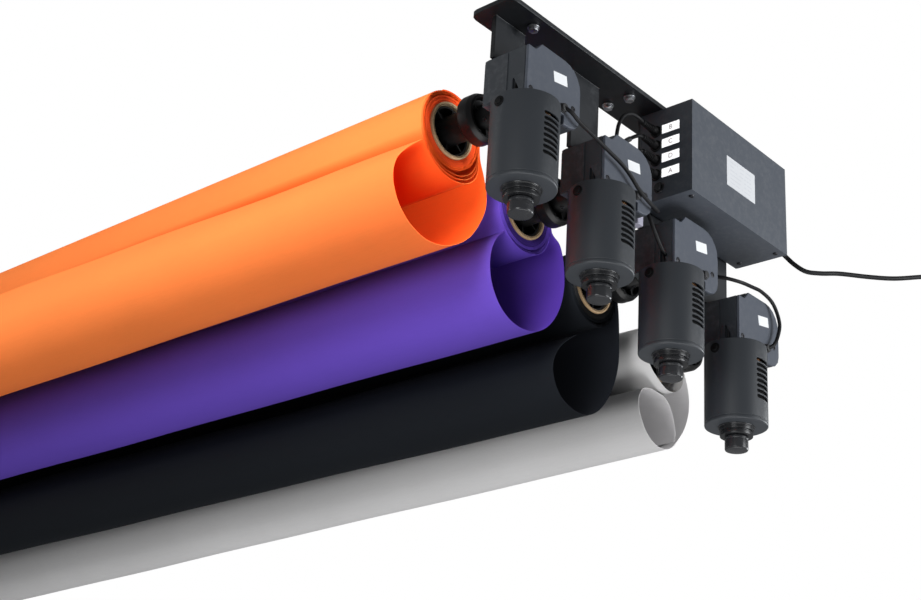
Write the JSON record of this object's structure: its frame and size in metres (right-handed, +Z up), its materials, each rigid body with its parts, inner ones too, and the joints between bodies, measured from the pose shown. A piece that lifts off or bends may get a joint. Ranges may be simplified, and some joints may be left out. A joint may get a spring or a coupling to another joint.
{
  "type": "motorised background paper carrier",
  "caption": "Motorised ceiling carrier that holds rolls of photographic background paper, each with its own worm gear motor, wired to one control box.",
  "frame": {"origin": "centre of the drive bracket plate on its ceiling face", "axes": "+X along the rolls towards the motors, +Y across the rolls from the highest to the lowest, +Z up to the ceiling"},
  "size_m": [1.6341, 0.5707, 0.3406],
  "materials": {
    "gear_housing_1": "satin black paint on cast alloy",
    "gear_housing_2": "satin black paint on cast alloy",
    "gear_housing_3": "satin black paint on cast alloy",
    "gear_housing_4": "satin black paint on cast alloy",
    "gear_cover_1": "satin dark grey paint",
    "gear_cover_2": "satin dark grey paint",
    "gear_cover_3": "satin dark grey paint",
    "gear_cover_4": "satin dark grey paint",
    "motor_can_1": "satin black paint on drawn steel",
    "motor_can_2": "satin black paint on drawn steel",
    "motor_can_3": "satin black paint on drawn steel",
    "motor_can_4": "satin black paint on drawn steel",
    "motor_lead_1": "black cable sheath and moulded plug",
    "motor_lead_2": "black cable sheath and moulded plug",
    "motor_lead_3": "black cable sheath and moulded plug",
    "motor_lead_4": "black cable sheath and moulded plug",
    "rotor_worm_1": "bare machined steel",
    "rotor_worm_2": "bare machined steel",
    "rotor_worm_3": "bare machined steel",
    "rotor_worm_4": "bare machined steel",
    "tail_knob_1": "moulded black plastic",
    "tail_knob_2": "moulded black plastic",
    "tail_knob_3": "moulded black plastic",
    "tail_knob_4": "moulded black plastic",
    "worm_wheel_1": "bare bronze on a steel shaft",
    "worm_wheel_2": "bare bronze on a steel shaft",
    "worm_wheel_3": "bare bronze on a steel shaft",
    "worm_wheel_4": "bare bronze on a steel shaft",
    "drive_hub_1": "moulded black plastic",
    "drive_hub_2": "moulded black plastic",
    "drive_hub_3": "moulded black plastic",
    "drive_hub_4": "moulded black plastic",
    "core_1": "wound card tube",
    "core_2": "wound card tube",
    "core_3": "wound card tube",
    "core_4": "wound card tube",
    "paper_roll_1": "matt seamless paper",
    "paper_roll_2": "matt seamless paper",
    "paper_roll_3": "matt seamless paper",
    "paper_roll_4": "matt seamless paper",
    "idle_plug_1": "moulded black plastic",
    "idle_plug_2": "moulded black plastic",
    "idle_plug_3": "moulded black plastic",
    "idle_plug_4": "moulded black plastic",
    "paper_end_1": "matt seamless paper",
    "paper_end_2": "matt seamless paper",
    "paper_end_3": "matt seamless paper",
    "paper_end_4": "matt seamless paper",
    "ceiling_bolt_1": "zinc plated",
    "ceiling_bolt_2": "zinc plated",
    "ceiling_bolt_3": "zinc plated",
    "ceiling_bolt_4": "zinc plated",
    "ceiling_bolt_5": "zinc plated",
    "drive_bracket": "satin black powder coat",
    "idle_bracket": "satin black powder coat",
    "box_shell": "satin dark grey powder coat",
    "box_back": "satin dark grey powder coat",
    "circuit_board": "green solder mask",
    "pairing_button": "moulded black plastic",
    "mains_cable": "black cable sheath"
  },
  "bodies": {
    "frame": {"drive_bracket": "drive_bracket", "idle_bracket": "idle_bracket", "ceiling_bolt_1": "ceiling_bolt_1", "ceiling_bolt_2": "ceiling_bolt_2", "ceiling_bolt_3": "ceiling_bolt_3", "ceiling_bolt_4": "ceiling_bolt_4", "ceiling_bolt_5": "ceiling_bolt_5", "gear_housing_1": "gear_housing_1", "gear_cover_1": "gear_cover_1", "motor_can_1": "motor_can_1", "motor_lead_1": "motor_lead_1", "gear_housing_2": "gear_housing_2", "gear_cover_2": "gear_cover_2", "motor_can_2": "motor_can_2", "motor_lead_2": "motor_lead_2", "gear_housing_3": "gear_housing_3", "gear_cover_3": "gear_cover_3", "motor_can_3": "motor_can_3", "motor_lead_3": "motor_lead_3", "gear_housing_4": "gear_housing_4", "gear_cover_4": "gear_cover_4", "motor_can_4": "motor_can_4", "motor_lead_4": "motor_lead_4", "box_shell": "box_shell", "box_back": "box_back", "circuit_board": "circuit_board", "mains_cable": "mains_cable"},
    "roll_1": {"core_1": "core_1", "paper_roll_1": "paper_roll_1", "drive_hub_1": "drive_hub_1", "worm_wheel_1": "worm_wheel_1", "idle_plug_1": "idle_plug_1"},
    "rotor_1": {"rotor_worm_1": "rotor_worm_1", "tail_knob_1": "tail_knob_1"},
    "loose_paper_1": {"paper_end_1": "paper_end_1"},
    "roll_2": {"core_2": "core_2", "paper_roll_2": "paper_roll_2", "drive_hub_2": "drive_hub_2", "worm_wheel_2": "worm_wheel_2", "idle_plug_2": "idle_plug_2"},
    "rotor_2": {"rotor_worm_2": "rotor_worm_2", "tail_knob_2": "tail_knob_2"},
    "loose_paper_2": {"paper_end_2": "paper_end_2"},
    "roll_3": {"core_3": "core_3", "paper_roll_3": "paper_roll_3", "drive_hub_3": "drive_hub_3", "worm_wheel_3": "worm_wheel_3", "idle_plug_3": "idle_plug_3"},
    "rotor_3": {"rotor_worm_3": "rotor_worm_3", "tail_knob_3": "tail_knob_3"},
    "loose_paper_3": {"paper_end_3": "paper_end_3"},
    "roll_4": {"core_4": "core_4", "paper_roll_4": "paper_roll_4", "drive_hub_4": "drive_hub_4", "worm_wheel_4": "worm_wheel_4", "idle_plug_4": "idle_plug_4"},
    "rotor_4": {"rotor_worm_4": "rotor_worm_4", "tail_knob_4": "tail_knob_4"},
    "loose_paper_4": {"paper_end_4": "paper_end_4"},
    "button": {"pairing_button": "pairing_button"}
  },
  "joints": [
    {"name": "roll_spin_1", "type": "hinge", "parent": "frame", "child": "roll_1", "pos_m": [0, -0.146, -0.0727], "axis": [-1, 0, 0], "range_deg": [0, 2800]},
    {"name": "rotor_spin_1", "type": "hinge", "parent": "frame", "child": "rotor_1", "pos_m": [0.0186, -0.172, -0.1817], "axis": [0, 0, -1], "range_deg": [0, 58900]},
    {"name": "paper_drop_1", "type": "slide", "parent": "frame", "child": "loose_paper_1", "axis": [0, 0, -1], "range_m": [0, 2]},
    {"name": "roll_spin_2", "type": "hinge", "parent": "frame", "child": "roll_2", "pos_m": [0, -0.032, -0.1109], "axis": [-1, 0, 0], "range_deg": [0, 2800]},
    {"name": "rotor_spin_2", "type": "hinge", "parent": "frame", "child": "rotor_2", "pos_m": [0.0186, -0.058, -0.2199], "axis": [0, 0, -1], "range_deg": [0, 58900]},
    {"name": "paper_drop_2", "type": "slide", "parent": "frame", "child": "loose_paper_2", "axis": [0, 0, -1], "range_m": [0, 2]},
    {"name": "roll_spin_3", "type": "hinge", "parent": "frame", "child": "roll_3", "pos_m": [0, 0.082, -0.1491], "axis": [-1, 0, 0], "range_deg": [0, 2800]},
    {"name": "rotor_spin_3", "type": "hinge", "parent": "frame", "child": "rotor_3", "pos_m": [0.0186, 0.056, -0.2581], "axis": [0, 0, -1], "range_deg": [0, 58900]},
    {"name": "paper_drop_3", "type": "slide", "parent": "frame", "child": "loose_paper_3", "axis": [0, 0, -1], "range_m": [0, 2]},
    {"name": "roll_spin_4", "type": "hinge", "parent": "frame", "child": "roll_4", "pos_m": [0, 0.196, -0.1873], "axis": [-1, 0, 0], "range_deg": [0, 2800]},
    {"name": "rotor_spin_4", "type": "hinge", "parent": "frame", "child": "rotor_4", "pos_m": [0.0186, 0.17, -0.2963], "axis": [0, 0, -1], "range_deg": [0, 58900]},
    {"name": "paper_drop_4", "type": "slide", "parent": "frame", "child": "loose_paper_4", "axis": [0, 0, -1], "range_m": [0, 1.55]},
    {"name": "button_press", "type": "slide", "parent": "frame", "child": "button", "axis": [0, 1, 0], "range_m": [0, 0.0015]}
  ],
  "couplings": [
    {"joint": "rotor_spin_1", "follows": "roll_spin_1", "ratio": 21},
    {"joint": "paper_drop_1", "follows": "roll_spin_1", "m_per_rad": 0.0407},
    {"joint": "rotor_spin_2", "follows": "roll_spin_2", "ratio": 21},
    {"joint": "paper_drop_2", "follows": "roll_spin_2", "m_per_rad": 0.0402},
    {"joint": "rotor_spin_3", "follows": "roll_spin_3", "ratio": 21},
    {"joint": "paper_drop_3", "follows": "roll_spin_3", "m_per_rad": 0.0396},
    {"joint": "rotor_spin_4", "follows": "roll_spin_4", "ratio": 21},
    {"joint": "paper_drop_4", "follows": "roll_spin_4", "m_per_rad": 0.031}
  ]
}
